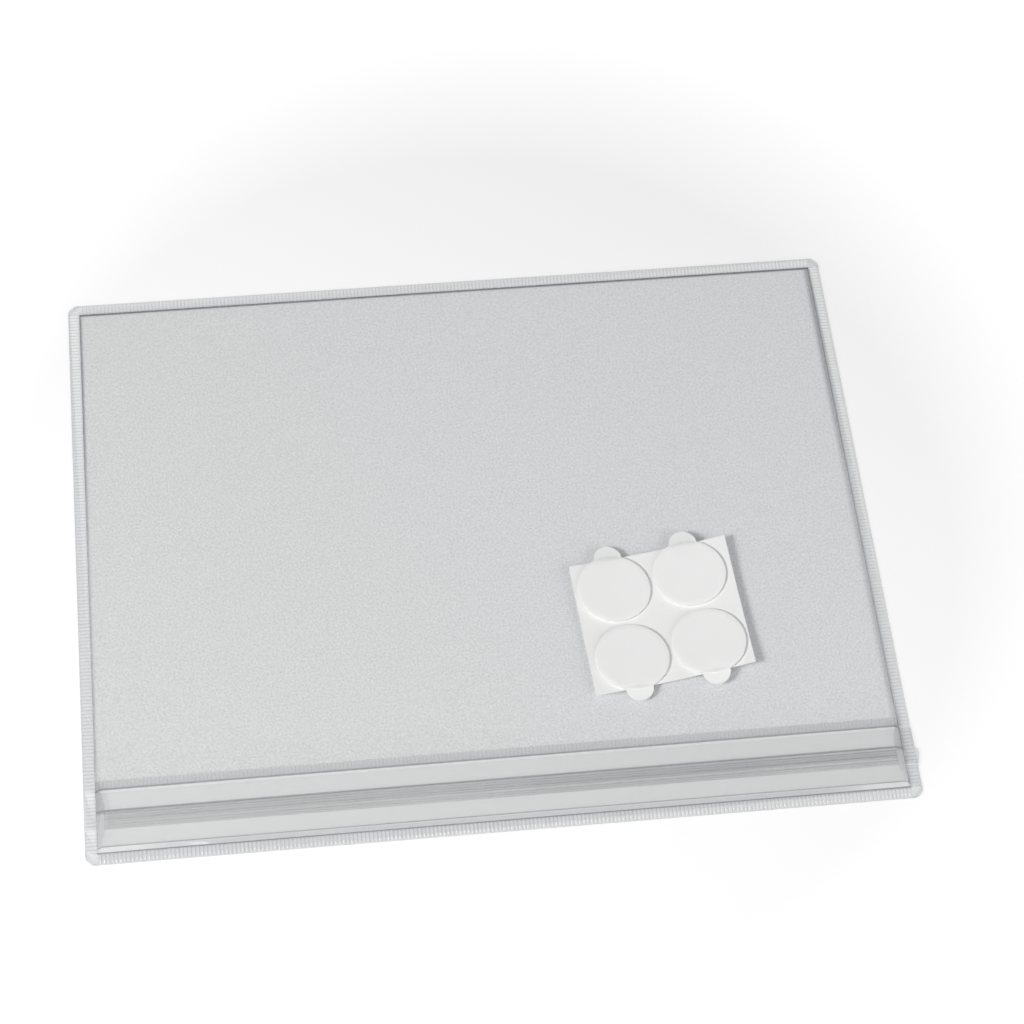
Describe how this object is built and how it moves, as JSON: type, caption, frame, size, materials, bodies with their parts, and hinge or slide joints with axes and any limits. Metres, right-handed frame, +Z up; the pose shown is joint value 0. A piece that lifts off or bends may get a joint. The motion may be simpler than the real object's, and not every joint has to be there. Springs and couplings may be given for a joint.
{
  "type": "self-adhesive document pocket",
  "caption": "Flat clear film pocket for landscape sheets, with a ribbed weld all round and a press-seal closure along one long edge, carrying its sheet of round foam adhesive pads.",
  "frame": {"origin": "centre of the pocket's outline, on the surface that its back film lies on", "axes": "+X along the long side, +Y along the short side away from the closure, +Z up out of the front film"},
  "size_m": [0.332, 0.265, 0.0026],
  "materials": {
    "clear_film": "clear soft film, finely matt, slightly grey",
    "closure_film": "clear extruded soft plastic, smooth",
    "liner_paper": "smooth white release paper",
    "pad_foam": "white closed-cell foam",
    "cover_paper": "smooth white cover paper"
  },
  "bodies": {
    "root": {"back_film": "clear_film", "front_film": "clear_film", "closure_back": "closure_film", "closure_front": "closure_film", "release_liner": "liner_paper", "foam_pad_1": "pad_foam", "foam_pad_2": "pad_foam", "foam_pad_3": "pad_foam", "foam_pad_4": "pad_foam", "pad_cover_1": "cover_paper", "pad_cover_2": "cover_paper", "pad_cover_3": "cover_paper", "pad_cover_4": "cover_paper"}
  },
  "joints": []
}
